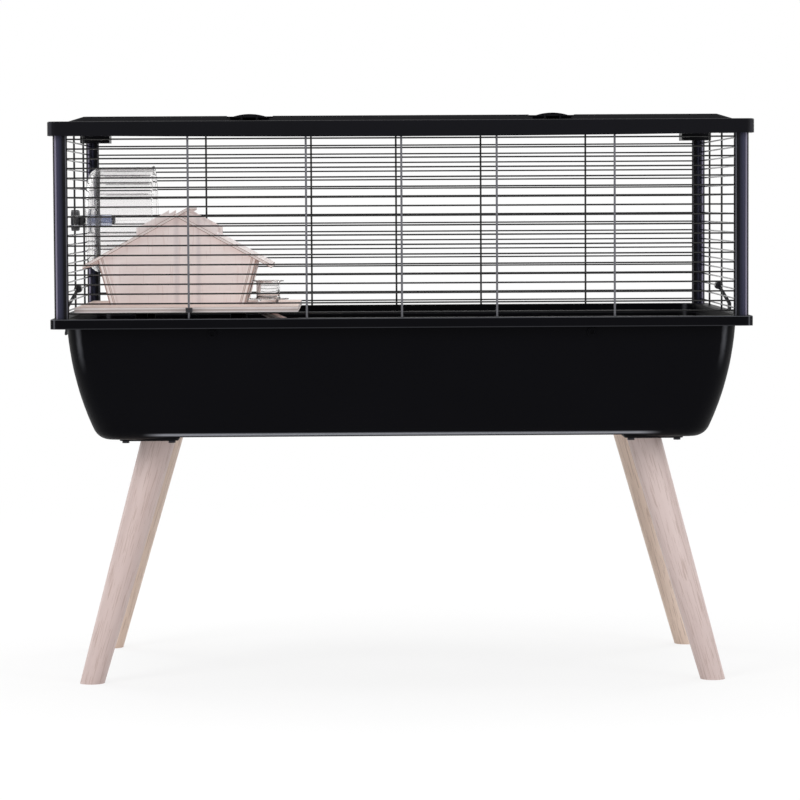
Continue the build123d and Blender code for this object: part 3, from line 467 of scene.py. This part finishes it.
def leg_wood(name, node, pale, warm, side_x, side_y):
    """Wood whose grain follows one leg; the splays are how far its foot stands outside its top."""
    material, shader, point = new_finish(name, {"Specular IOR Level": 0.35})
    low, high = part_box(node)
    splay_x = SPLAY_X / (high.z - low.z) * side_x
    splay_y = SPLAY_Y / (high.z - low.z) * side_y
    shear, depth, height = axes(point)
    across = shear + height * splay_x
    through = depth + height * splay_y
    straight = point.node("ShaderNodeCombineXYZ", {}, {0: across, 1: through, 2: height})
    rings = grain(straight, 46.0, detail=2.5, stretch=(1.0, 1.0, 0.07))
    pores = grain(straight, 900.0, detail=2.0, stretch=(1.0, 1.0, 0.03))
    colour = blend_colours(rings, warm, pale)
    pore_and_shadow_streak = (pores > 0.59) * 0.42
    feed(shader, "Base Color", blend_colours(pore_and_shadow_streak, colour, PORE_COLOUR))
    feed(shader, "Roughness", 0.46 + 0.18 * (pores - 0.5))
    feed(shader, "Normal", bumps(pores, 0.00012, 0.6))
    return material


FRONT_WOOD = (paint(224, 207, 203), paint(188, 166, 161))
BACK_WOOD = (paint(238, 218, 204), paint(214, 188, 170))
for depth_name, side_y, colours in (("front", -1, FRONT_WOOD), ("back", 1, BACK_WOOD)):
    for width_name, side_x in (("left", -1), ("right", 1)):
        node = "leg_" + depth_name + "_" + width_name
        put_on(leg_wood(node + "_wood", node, *colours, side_x, side_y), node)
print("woods", len([m for m in bpy.data.materials if m.name.endswith("_wood")]))

# %% [markdown]
# ## Plywood
# The platform, ramp and house are cut from thin birch plywood. Its faces are pale with long
# grain; its cut edges show the plies, a brown core between two pale skins. The shader measures
# how deep a point lies through the sheet, along the sheet's own normal, and shows the plies
# only where the surface faces sideways. Each sheet gets its own direction and start.


# %% Plywood
SKIN = (paint(244, 230, 227), paint(255, 247, 246))
CUT = paint(172, 144, 136)
PITH = paint(252, 243, 241)
FLECK = paint(222, 200, 195)
# Colour of the painted shadow bands on the gable walls.
PAINTED_SHADOW = paint(214, 204, 206)
PLIES = [(0.00, CUT), (0.09, PITH), (0.30, PITH), (0.38, CUT), (0.46, PITH), (0.58, CUT), (0.66, PITH),
         (0.91, PITH), (1.00, CUT)]
# Roof boards' cut edges: darker brown lines along both sides; the one along the underside is painted shade.
THIN_PLIES_WITH_SHADE = [(0.00, CUT), (0.16, CUT), (0.26, PITH), (0.46, PITH), (0.52, CUT), (0.60, PITH), (0.78, PITH),
              (0.88, CUT), (1.00, CUT)]


def plywood(name, through, start, thickness, grain_way, skin=SKIN, plies=PLIES, shadow_bands=()):
    """Through is the direction across the plies, start where the sheet begins along it."""
    material, shader, point = new_finish(name, {"Specular IOR Level": 0.3})
    facing = Shade(point.tree, point.socket.node.outputs["Normal"])
    long_grain = grain(point, 70.0, detail=4.0, stretch=grain_way)
    fine = grain(point, 420.0, detail=2.0, stretch=grain_way)
    face = blend_colours(long_grain, *skin)
    face = blend_colours((fine > 0.62) * 0.3, face, FLECK)
    # Painted shadow: soft upright bands darken the face where the front uprights shade the wall.
    for middle, half_width in shadow_bands:
        pore_and_shadow_streak = hump(along(point, (1, 0, 0)), middle, half_width) * 0.5
        face = blend_colours(pore_and_shadow_streak, face, PAINTED_SHADOW)
    depth = (along(point, through) - start) * (1 / thickness)
    cut_edge = depth.node("ShaderNodeValToRGB", {"stops": plies}, {"Fac": depth})
    length = hypot(*through)
    unit = tuple(value / length for value in through)
    edge = abs(along(facing, unit)) < 0.6
    feed(shader, "Base Color", blend_colours(edge, face, cut_edge))
    feed(shader, "Roughness", 0.52 + 0.14 * (fine - 0.5))
    feed(shader, "Normal", bumps(fine, 0.00008, 0.7))
    return material


ALONG_X = (0.05, 1.0, 1.0)
ALONG_Y = (1.0, 0.05, 1.0)
ALONG_Z = (1.0, 1.0, 0.06)
board_low, board_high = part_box("platform_board")
board_skin = (paint(230, 206, 196), paint(246, 228, 220))
board_ply = plywood("board_ply", (0, 0, 1), board_low.z, board_high.z - board_low.z, ALONG_X, board_skin)
put_on(board_ply, "platform_board")
# Painted shadow bands of the front uprights on the gable walls: middle and half width, across the cage.
UPRIGHT_SHADOW_BANDS = [(-254.3 * MM, 5 * MM), (-229.2 * MM, 4.5 * MM)]
for wall in ("front", "back"):
    low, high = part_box("house_wall_" + wall)
    gable_ply = plywood("house_" + wall + "_ply", (0, 1, 0), low.y, high.y - low.y, ALONG_Z, shadow_bands=UPRIGHT_SHADOW_BANDS)
    put_on(gable_ply, "house_wall_" + wall)
print("board", round(board_high.z - board_low.z, 4))

# %% [markdown]
# The house's side walls lean outwards and its roof boards slope, so their plies lie along
# slanted directions. Those come from the lean and the roof's angle. The ramp slopes as well, and
# the feet under the platform are moulded in the tray's black plastic.

# %% Leaning walls, roof boards, ramp and feet
WALL_LEAN = 0.265
WALL_THICKNESS = 8.5 * MM
ROOF_SLOPE = radians(28.5)
ROOF_BOARD = 3.5 * MM
for name, side in (("left", -1), ("right", 1)):
    low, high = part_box("house_wall_" + name)
    outside = high.x if side > 0 else -low.x
    through = (side, 0, -WALL_LEAN)
    start = outside - WALL_LEAN * high.z - WALL_THICKNESS
    wall_ply = plywood("house_" + name + "_ply", through, start, WALL_THICKNESS, ALONG_Z)
    put_on(wall_ply, "house_wall_" + name)
    low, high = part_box("house_roof_" + name)
    normal = (side * sin(ROOF_SLOPE), 0, cos(ROOF_SLOPE))
    eave = high.x if side > 0 else low.x
    start = eave * normal[0] + low.z * normal[2]
    roof_ply = plywood("roof_" + name + "_ply", normal, start, ROOF_BOARD, ALONG_X, plies=THIN_PLIES_WITH_SHADE)
    put_on(roof_ply, "house_roof_" + name)
RAMP_SLOPE = radians(25.0)
RAMP_BOARD = 6 * MM
ramp_low, ramp_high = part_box("ramp")
ramp_normal = (sin(RAMP_SLOPE), 0, cos(RAMP_SLOPE))
ramp_start = ramp_high.x * ramp_normal[0] + ramp_low.z * ramp_normal[2] - RAMP_BOARD
put_on(plywood("ramp_ply", ramp_normal, ramp_start, RAMP_BOARD, ALONG_X), "ramp")
put_on(plywood("rung_ply", ramp_normal, ramp_start + RAMP_BOARD, RAMP_BOARD, ALONG_Y), "ramp_rungs")
put_on(tray_plastic, *[name for name in nodes if name.startswith("platform_foot_")])
print("ply finishes", len([m for m in bpy.data.materials if m.name.endswith("_ply")]))

# %% [markdown]
# ## Clear plastics
# The wheel and the bowl are clear moulded plastic and the wheel's hub is smoke grey. Light goes
# through them, so the shader transmits it and bends it as the real plastic does. A few hundredths
# of the light are scattered instead, as fine haze and dust do. Moulding ripples are a slight bump.


# %% Clear plastic
BENDING = 1.3


def clear(name, tint, roughness, clarity):
    """See-through plastic; clarity is the share of the light that goes straight on."""
    fixed = {"Base Color": tint, "Transmission Weight": clarity, "IOR": BENDING}
    material, shader, point = new_finish(name, fixed)
    ripples = grain(point, 30.0, detail=1.0)
    scuffs = grain(point, 500.0, detail=2.0)
    feed(shader, "Roughness", roughness + 0.02 * (scuffs - 0.5))
    feed(shader, "Normal", bumps(ripples, 0.00006, 0.5))
    return material


clear_plastic = clear("clear_plastic", paint(253, 252, 252), 0.012, 0.965)
smoke_plastic = clear("smoke_plastic", paint(206, 212, 230), 0.03, 0.92)
put_on(smoke_plastic, "wheel_hub")
print("clear plastics", clear_plastic.name, smoke_plastic.name)

# %% [markdown]
# ## Round wires
# Each panel is level wires welded to thicker uprights. A wire is a long cone with equal ends,
# turned to lie between two points. Twelve sides are enough for a wire under two millimetres
# thick, and sixteen for an upright; smooth shading hides them, and the flat ends stay flat.


# %% One wire and one piece
def add_wire(mesh, start, end, radius, sides=12):
    """Adds a round bar between two points."""
    run = Vector(end) - Vector(start)
    turn = run.to_track_quat("Z", "Y").to_matrix().to_4x4()
    place = Matrix.Translation((Vector(start) + Vector(end)) / 2) @ turn
    bmesh.ops.create_cone(mesh, cap_ends=True, segments=sides, radius1=radius, radius2=radius,
                          depth=run.length, matrix=place)


CREASE = radians(35)


def make_piece(name, mesh, material, body):
    """Turns a bmesh into a named piece that rides on a body, smooth but for its sharp edges."""
    data = bpy.data.meshes.new(name)
    for face in mesh.faces:
        face.smooth = True
    for edge in mesh.edges:
        edge.smooth = edge.calc_face_angle(0.0) < CREASE
    mesh.to_mesh(data)
    mesh.free()
    data.materials.append(material)
    piece = bpy.data.objects.new(name, data)
    bpy.context.scene.collection.objects.link(piece)
    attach(piece, body)
    return piece


# %% Wire panels
WIRE = 1.8 * MM
BAR = 2.4 * MM
WELD = 0.3 * MM
PITCH = 10.65 * MM
FIRST_WIRE = 5.9 * MM
LEVELS = 19
FRONT_BARS = [x * MM for x in (-235, -105, 0, 105, 235)]
SIDE_BARS = [y * MM for y in (-130, 0, 130)]
BAR_OFFSET = WIRE / 2 + BAR / 2 - WELD
BAR_SIDES = 16


def wire_panel(side, out, bar_places, bar_material):
    """Rebuilds one panel; out is the direction that its uprights face."""
    low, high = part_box("wire_panel_" + side)
    out = Vector(out)
    across = Vector((abs(out.y), abs(out.x), 0))
    outer = high if out.x + out.y > 0 else low
    plane = outer.dot(Vector((abs(out.x), abs(out.y), 0))) * out.dot(Vector((1, 1, 0)))
    wire_plane = out * (plane - BAR - WIRE / 2 + WELD)
    reach = high.dot(across)
    wires = bmesh.new()
    for level in range(LEVELS):
        height = Vector((0, 0, low.z + FIRST_WIRE + PITCH * level))
        middle = wire_plane + height
        add_wire(wires, middle - across * reach, middle + across * reach, WIRE / 2)
    piece = make_piece("level_wires_" + side, wires, wire_lacquer, "cage")
    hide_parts("wire_panel_" + side)
    bars = bmesh.new()
    for place in bar_places:
        foot = wire_plane + out * BAR_OFFSET + across * place
        add_wire(bars, foot + Vector((0, 0, low.z)), foot + Vector((0, 0, high.z)), BAR / 2, BAR_SIDES)
    make_piece("uprights_" + side, bars, bar_material, "cage")


wire_panel("front", (0, -1, 0), FRONT_BARS, bar_highlight_lacquer)
wire_panel("back", (0, 1, 0), FRONT_BARS, wire_lacquer)
wire_panel("left", (-1, 0, 0), SIDE_BARS, wire_lacquer)
wire_panel("right", (1, 0, 0), SIDE_BARS, wire_lacquer)
print("wires", 4 * LEVELS)

# %% Roof grille
grille_low, grille_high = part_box("roof_grille")
grille = bmesh.new()
wire_height = grille_high.z - WIRE / 2
rows = int(round((grille_high.y - WIRE / 2) / PITCH))
for row in range(-rows, rows + 1):
    y = row * PITCH
    add_wire(grille, (grille_low.x, y, wire_height), (grille_high.x, y, wire_height), WIRE / 2)
bar_height = wire_height - BAR_OFFSET
for x in FRONT_BARS:
    add_wire(grille, (x, grille_low.y, bar_height), (x, grille_high.y, bar_height), BAR / 2, BAR_SIDES)
roof_wires = make_piece("roof_wires", grille, wire_lacquer, "roof")
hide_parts("roof_grille")
print("roof wires", 2 * rows + 1)

# %% [markdown]
# ## Turned pieces
# The wheel's drum, its axle and the bowl are round, so each is half a section spun about its
# axis. A section is a closed chain of corners, each given as how far it lies along the axis and
# how far out from it. Corners that the mould rounds are bevelled before the spin, while they are
# still single points; afterwards every ring of edges would have to be found again.


# %% Spinning a section
def add_turned(mesh, section, rounded, foot, axis, out, steps=72):
    """Spins a section about an axis. Rounded gives the radius of some corners by their number."""
    axis, out = Vector(axis), Vector(out)
    before = set(mesh.verts)
    corners = [mesh.verts.new(Vector(foot) + axis * far + out * radius) for far, radius in section]
    closed = section[0][1] > 0
    links = list(zip(corners, corners[1:] + corners[:1]))
    for first, second in links if closed else links[:-1]:
        mesh.edges.new((first, second))
    for number, radius in rounded.items():
        bmesh.ops.bevel(mesh, geom=[corners[number]], offset=radius, segments=8, profile=0.5,
                        affect="VERTICES", material=-1)
    chain = [vert for vert in mesh.verts if vert not in before]
    chain += list({edge for vert in chain for edge in vert.link_edges})
    bmesh.ops.spin(mesh, geom=chain, cent=foot, axis=axis, dvec=(0, 0, 0), angle=2 * pi, steps=steps,
                   use_merge=True, use_normal_flip=False, use_duplicate=False)
    turned = [vert for vert in mesh.verts if vert not in before]
    bmesh.ops.remove_doubles(mesh, verts=turned, dist=1e-6)
    bmesh.ops.dissolve_degenerate(mesh, dist=1e-6, edges=mesh.edges)
    bmesh.ops.recalc_face_normals(mesh, faces=mesh.faces)


# %% [markdown]
# The drum is a thin clear cup with a wide rounded shoulder, a bead around its mouth and slats
# inside for the animal's feet. The slats lie a hair inside the wall, so that clear plastic never
# runs through clear plastic, which would bend light in ways that the real one does not.

# %% Wheel drum
drum_low, drum_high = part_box("wheel_drum")
DRUM_BEAD = 1.3 * MM
DRUM_WALL = 1.6 * MM
DRUM_SHOULDER = 18 * MM
HUB_RADIUS = 7.2 * MM
SLATS = 24
SLAT_HEIGHT = 0.9 * MM
SLAT_WIDTH = 1.2 * MM
SLAT_SET_BACK = 5.2 * MM
HAIR = 0.05 * MM
drum_length = drum_high.x - drum_low.x
drum_radius = (drum_high.z - drum_low.z) / 2 - DRUM_BEAD
drum_foot = Vector((drum_low.x, (drum_low.y + drum_high.y) / 2, (drum_low.z + drum_high.z) / 2))
section = [
    (0, HUB_RADIUS),
    (0, drum_radius),
    (drum_length - 2 * DRUM_BEAD, drum_radius),
    (drum_length - 2 * DRUM_BEAD, drum_radius + DRUM_BEAD),
    (drum_length, drum_radius + DRUM_BEAD),
    (drum_length, drum_radius - DRUM_WALL),
    (DRUM_WALL, drum_radius - DRUM_WALL),
    (DRUM_WALL, HUB_RADIUS),
]
rounded = {1: DRUM_SHOULDER, 3: DRUM_BEAD / 2, 4: DRUM_BEAD, 6: DRUM_SHOULDER - DRUM_WALL}
drum = bmesh.new()
add_turned(drum, section, rounded, drum_foot, (1, 0, 0), (0, 0, 1), 96)
slat_length = drum_length - DRUM_SHOULDER - SLAT_SET_BACK
slat_middle = DRUM_SHOULDER + slat_length / 2
slat_ring = drum_radius - DRUM_WALL - SLAT_HEIGHT / 2 - HAIR
for slat in range(SLATS):
    around = Matrix.Rotation(2 * pi * slat / SLATS, 4, "X")
    shape = Matrix.Diagonal((slat_length, SLAT_WIDTH, SLAT_HEIGHT, 1))
    place = Matrix.Translation(drum_foot) @ around @ Matrix.Translation((slat_middle, 0, slat_ring)) @ shape
    bmesh.ops.create_cube(drum, size=1.0, matrix=place)
wheel = make_piece("running_wheel", drum, clear_plastic, "wheel")
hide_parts("wheel_drum")
print("drum radius", round(drum_radius, 4), "faces", len(wheel.data.polygons))

# %% [markdown]
# The axle is black where it shows outside the wires and in the flange that presses on them, and
# smoky and see-through inside the hub.

# %% Axle
axle_low, axle_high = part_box("wheel_axle")
AXLE_RADIUS = 3 * MM
FLANGE_RADIUS = (axle_high.z - axle_low.z) / 2
SIDE_WIRES_INSIDE = -376.0 * MM
FLANGE = 2 * MM
FLANGE_EDGE = 0.4 * MM
SHAFT_EDGE = 0.5 * MM
AXLE_STEPS = 32
axle_foot = Vector((axle_low.x, drum_foot.y, drum_foot.z))
neck_end = SIDE_WIRES_INSIDE + FLANGE - axle_low.x
neck_section = [
    (0, 0),
    (0, AXLE_RADIUS),
    (neck_end - FLANGE, AXLE_RADIUS),
    (neck_end - FLANGE, FLANGE_RADIUS),
    (neck_end, FLANGE_RADIUS),
    (neck_end, 0),
]
neck = bmesh.new()
neck_rounded = {3: FLANGE_EDGE, 4: FLANGE_EDGE}
add_turned(neck, neck_section, neck_rounded, axle_foot, (1, 0, 0), (0, 0, 1), AXLE_STEPS)
neck_piece = make_piece("axle_neck", neck, knob_plastic, "cage")
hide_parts("wheel_axle")
shaft_end = axle_high.x - axle_low.x
shaft_section = [
    (neck_end + HAIR, 0),
    (neck_end + HAIR, AXLE_RADIUS),
    (shaft_end, AXLE_RADIUS),
    (shaft_end, 0),
]
shaft = bmesh.new()
add_turned(shaft, shaft_section, {2: SHAFT_EDGE}, axle_foot, (1, 0, 0), (0, 0, 1), AXLE_STEPS)
shaft_piece = make_piece("axle_shaft", shaft, smoke_plastic, "cage")
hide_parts("wheel_axle")
print("axle", round(shaft_end, 4))

# %% [markdown]
# The bowl is a thin clear cup with a narrow foot, a wide flange low down that the animal stands
# on, and a turned-out rim.

# %% Bowl
bowl_low, bowl_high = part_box("bowl")
bowl_foot = Vector(((bowl_low.x + bowl_high.x) / 2, (bowl_low.y + bowl_high.y) / 2, bowl_low.z))
bowl_height = bowl_high.z - bowl_low.z
BOWL_FLANGE = (bowl_high.x - bowl_low.x) / 2
BOWL_FOOT = 12 * MM
BOWL_BODY = 13.5 * MM
BOWL_RIM = 18 * MM
BOWL_WALL = 1.6 * MM
BOWL_LIP = 1.4 * MM
FLANGE_RISE = 4.8 * MM
bowl_section = [
    (0, 0),
    (0, BOWL_FOOT),
    (FLANGE_RISE, BOWL_FOOT),
    (FLANGE_RISE, BOWL_FLANGE),
    (FLANGE_RISE + BOWL_LIP, BOWL_FLANGE),
    (FLANGE_RISE + BOWL_LIP, BOWL_BODY),
    (bowl_height - BOWL_LIP, BOWL_BODY),
    (bowl_height - BOWL_LIP, BOWL_RIM),
    (bowl_height, BOWL_RIM),
    (bowl_height, BOWL_BODY - BOWL_WALL),
    (FLANGE_RISE + BOWL_WALL, BOWL_BODY - BOWL_WALL),
    (FLANGE_RISE + BOWL_WALL, 0),
]
THIN_EDGE = 0.5 * MM
INNER_BEND = 2 * MM
BOWL_BOTTOM = 3 * MM
bowl_rounded = {3: THIN_EDGE, 4: THIN_EDGE, 5: INNER_BEND, 6: INNER_BEND, 7: THIN_EDGE, 8: THIN_EDGE,
                10: BOWL_BOTTOM}
cup = bmesh.new()
add_turned(cup, bowl_section, bowl_rounded, bowl_foot, (0, 0, 1), (1, 0, 0), 64)
feeding_bowl = make_piece("feeding_bowl", cup, clear_plastic, "cage")
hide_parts("bowl")
print("bowl height", round(bowl_height, 4))

# %% [markdown]
# ## Studio
# The cage stands on a white floor in soft light. Large area lamps give broad soft highlights on
# the plastic; the world fills the rest. What the camera, glossy and clear surfaces see of the
# world is plain white. The floor is white paint that shows a share of its own white to the
# camera, less of it near the cage, so it melts into the background but keeps the cage's shadow.


# %% World and floor
def ray_share(tree, kinds):
    """1 for the kinds of ray named, otherwise 0."""
    path = tree.nodes.new("ShaderNodeLightPath")
    total = Shade(tree, path.outputs[kinds[0]])
    for kind in kinds[1:]:
        total = total.math("MAXIMUM", total, Shade(tree, path.outputs[kind]))
    return total


AMBIENT = 0.55
world = bpy.data.worlds.new("studio")
bpy.context.scene.world = world
world.use_nodes = True
sky = world.node_tree.nodes["Background"]
sky.inputs["Color"].default_value = (1, 1, 1, 1)
SEEING_RAYS = ["Is Camera Ray", "Is Glossy Ray", "Is Transmission Ray"]
seen = ray_share(world.node_tree, SEEING_RAYS)
feed(sky, "Strength", AMBIENT + (1 - AMBIENT) * seen)

FLOOR_SIZE = 60.0
floor_mesh = bmesh.new()
bmesh.ops.create_grid(floor_mesh, x_segments=1, y_segments=1, size=FLOOR_SIZE / 2)
floor_data = bpy.data.meshes.new("floor")
floor_mesh.to_mesh(floor_data)
floor_mesh.free()
floor = bpy.data.objects.new("floor", floor_data)
bpy.context.scene.collection.objects.link(floor)
floor_white, floor_shader, floor_point = new_finish("floor_white", {"Specular IOR Level": 0.0})
floor_clouds = grain(floor_point, 2.0)
feed(floor_shader, "Base Color", blend_colours(floor_clouds, paint(246, 246, 246), paint(250, 250, 250)))
floor_shader.inputs["Roughness"].default_value = 0.9
floor_tree = floor_white.node_tree
glow = floor_tree.nodes.new("ShaderNodeEmission")
mixer = floor_tree.nodes.new("ShaderNodeMixShader")
floor_seen = ray_share(floor_tree, SEEING_RAYS)
SHADOW_REACH = 0.7
WHITE_REACH = 2.2
SHADOW_WHITE = 0.8
reach = floor_point.node("ShaderNodeVectorMath", {"operation": "LENGTH"}, {0: floor_point}, output=1)
spread = {"From Min": SHADOW_REACH, "From Max": WHITE_REACH, "To Min": SHADOW_WHITE, "To Max": 1.0}
own_white = reach.node("ShaderNodeMapRange", {}, {"Value": reach, **spread})
feed(mixer, "Fac", own_white * floor_seen)
floor_tree.links.new(floor_shader.outputs[0], mixer.inputs[1])
floor_tree.links.new(glow.outputs[0], mixer.inputs[2])
floor_tree.links.new(mixer.outputs[0], floor_tree.nodes["Material Output"].inputs["Surface"])
floor_data.materials.append(floor_white)
print("floor", FLOOR_SIZE)


# %% Lamps
def softbox(name, place, aim, size, watts):
    """A square area lamp that points at a spot."""
    lamp = bpy.data.lights.new(name, "AREA")
    lamp.shape = "RECTANGLE"
    lamp.size, lamp.size_y = size
    lamp.energy = watts
    light = bpy.data.objects.new(name, lamp)
    bpy.context.scene.collection.objects.link(light)
    run = Vector(aim) - Vector(place)
    light.matrix_world = Matrix.Translation(place) @ run.to_track_quat("-Z", "Y").to_matrix().to_4x4()


MIDDLE = (0, 0, 0.4)
softbox("key_left", (-2.2, -2.4, 2.2), MIDDLE, (1.4, 1.8), 42)
softbox("fill_right", (2.6, -2.2, 1.6), MIDDLE, (1.2, 1.8), 26)
softbox("top", (0, 0.3, 3.0), MIDDLE, (2.4, 1.8), 40)
softbox("back_left", (-2.4, 2.2, 1.6), MIDDLE, (1.2, 1.8), 20)
softbox("back_right", (2.4, 2.2, 1.6), MIDDLE, (1.2, 1.8), 20)
print("lamps", len(bpy.data.lights))

# %% [markdown]
# ## Finish
# Last, the view layer is updated.

# %% Finish
bpy.context.view_layer.update()
